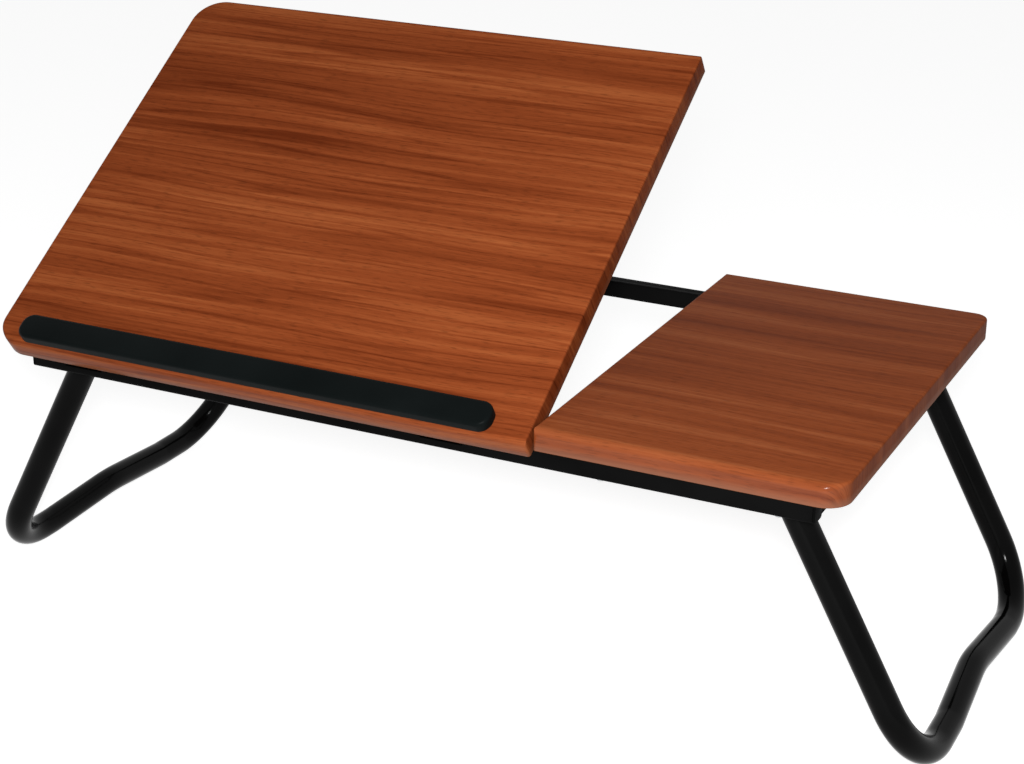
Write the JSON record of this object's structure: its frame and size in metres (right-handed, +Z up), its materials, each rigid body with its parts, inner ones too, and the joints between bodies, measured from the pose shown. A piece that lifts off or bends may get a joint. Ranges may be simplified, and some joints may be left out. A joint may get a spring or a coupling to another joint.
{
  "type": "folding bed tray table",
  "caption": "Folding bed tray table: a split wooden top with a tilting reading panel and book stop, a fixed side panel, a square-tube frame and bent-tube legs that fold in under it.",
  "frame": {"origin": "on the floor under the middle of the standing table's overall bounding box, with the reading panel raised as in the picture", "axes": "+X along the table's length from the tilting panel to the side panel, +Y from the user's edge to the rear, +Z up"},
  "size_m": [0.7172, 0.3402, 0.3799],
  "materials": {
    "wood_top": "reddish brown wood grain under a satin lacquer",
    "frame_paint": "semi-gloss black coating",
    "black_plastic": "matte black plastic",
    "zinc_plate": "zinc-plated steel"
  },
  "bodies": {
    "frame": {"front_rail": "frame_paint", "rear_rail": "frame_paint", "right_end_bar": "frame_paint", "left_end_bar": "frame_paint", "front_left_rail_plug": "black_plastic", "front_right_rail_plug": "black_plastic", "rear_left_rail_plug": "black_plastic", "rear_right_rail_plug": "black_plastic", "front_left_leg_bracket": "frame_paint", "front_right_leg_bracket": "frame_paint", "rear_left_leg_bracket": "frame_paint", "rear_right_leg_bracket": "frame_paint", "front_left_leg_bolt": "zinc_plate", "front_right_leg_bolt": "zinc_plate", "rear_left_leg_bolt": "zinc_plate", "rear_right_leg_bolt": "zinc_plate", "front_left_leg_nut": "zinc_plate", "front_right_leg_nut": "zinc_plate", "rear_left_leg_nut": "zinc_plate", "rear_right_leg_nut": "zinc_plate", "side_panel": "wood_top", "side_panel_screw_front_1": "zinc_plate", "side_panel_screw_front_2": "zinc_plate", "side_panel_screw_rear_1": "zinc_plate", "side_panel_screw_rear_2": "zinc_plate", "tilt_pin_1": "zinc_plate", "tilt_pin_2": "zinc_plate", "prop_rack_1": "frame_paint", "prop_rack_2": "frame_paint"},
    "tilt_panel": {"tilting_panel": "wood_top", "book_stop": "black_plastic", "tilt_hinge_1": "frame_paint", "tilt_hinge_2": "frame_paint", "tilt_hinge_1_screw_1": "zinc_plate", "tilt_hinge_1_screw_2": "zinc_plate", "tilt_hinge_2_screw_1": "zinc_plate", "tilt_hinge_2_screw_2": "zinc_plate", "prop_clip_1": "zinc_plate", "prop_clip_2": "zinc_plate", "prop_clip_1_screw_1": "zinc_plate", "prop_clip_1_screw_2": "zinc_plate", "prop_clip_2_screw_1": "zinc_plate", "prop_clip_2_screw_2": "zinc_plate"},
    "prop": {"prop_wire": "zinc_plate"},
    "left_leg": {"left_leg_tube": "frame_paint", "left_leg_front_plug": "black_plastic", "left_leg_rear_plug": "black_plastic"},
    "right_leg": {"right_leg_tube": "frame_paint", "right_leg_front_plug": "black_plastic", "right_leg_rear_plug": "black_plastic"}
  },
  "joints": [
    {"name": "panel_tilt", "type": "hinge", "parent": "frame", "child": "tilt_panel", "pos_m": [0, -0.15361, 0.1857], "axis": [1, 0, 0], "range_deg": [-33.8, 0]},
    {"name": "prop_fold", "type": "hinge", "parent": "tilt_panel", "child": "prop", "pos_m": [-0.1025, -0.04031, 0.263], "axis": [1, 0, 0], "range_deg": [0, 67.6]},
    {"name": "left_leg_fold", "type": "hinge", "parent": "frame", "child": "left_leg", "pos_m": [-0.2593, 0.00509, 0.1741], "axis": [0, -1, 0], "range_deg": [0, 118.6]},
    {"name": "right_leg_fold", "type": "hinge", "parent": "frame", "child": "right_leg", "pos_m": [0.2593, 0.00509, 0.1741], "axis": [0, 1, 0], "range_deg": [0, 118.6]}
  ],
  "couplings": [
    {"joint": "prop_fold", "follows": "panel_tilt", "ratio": -2}
  ]
}
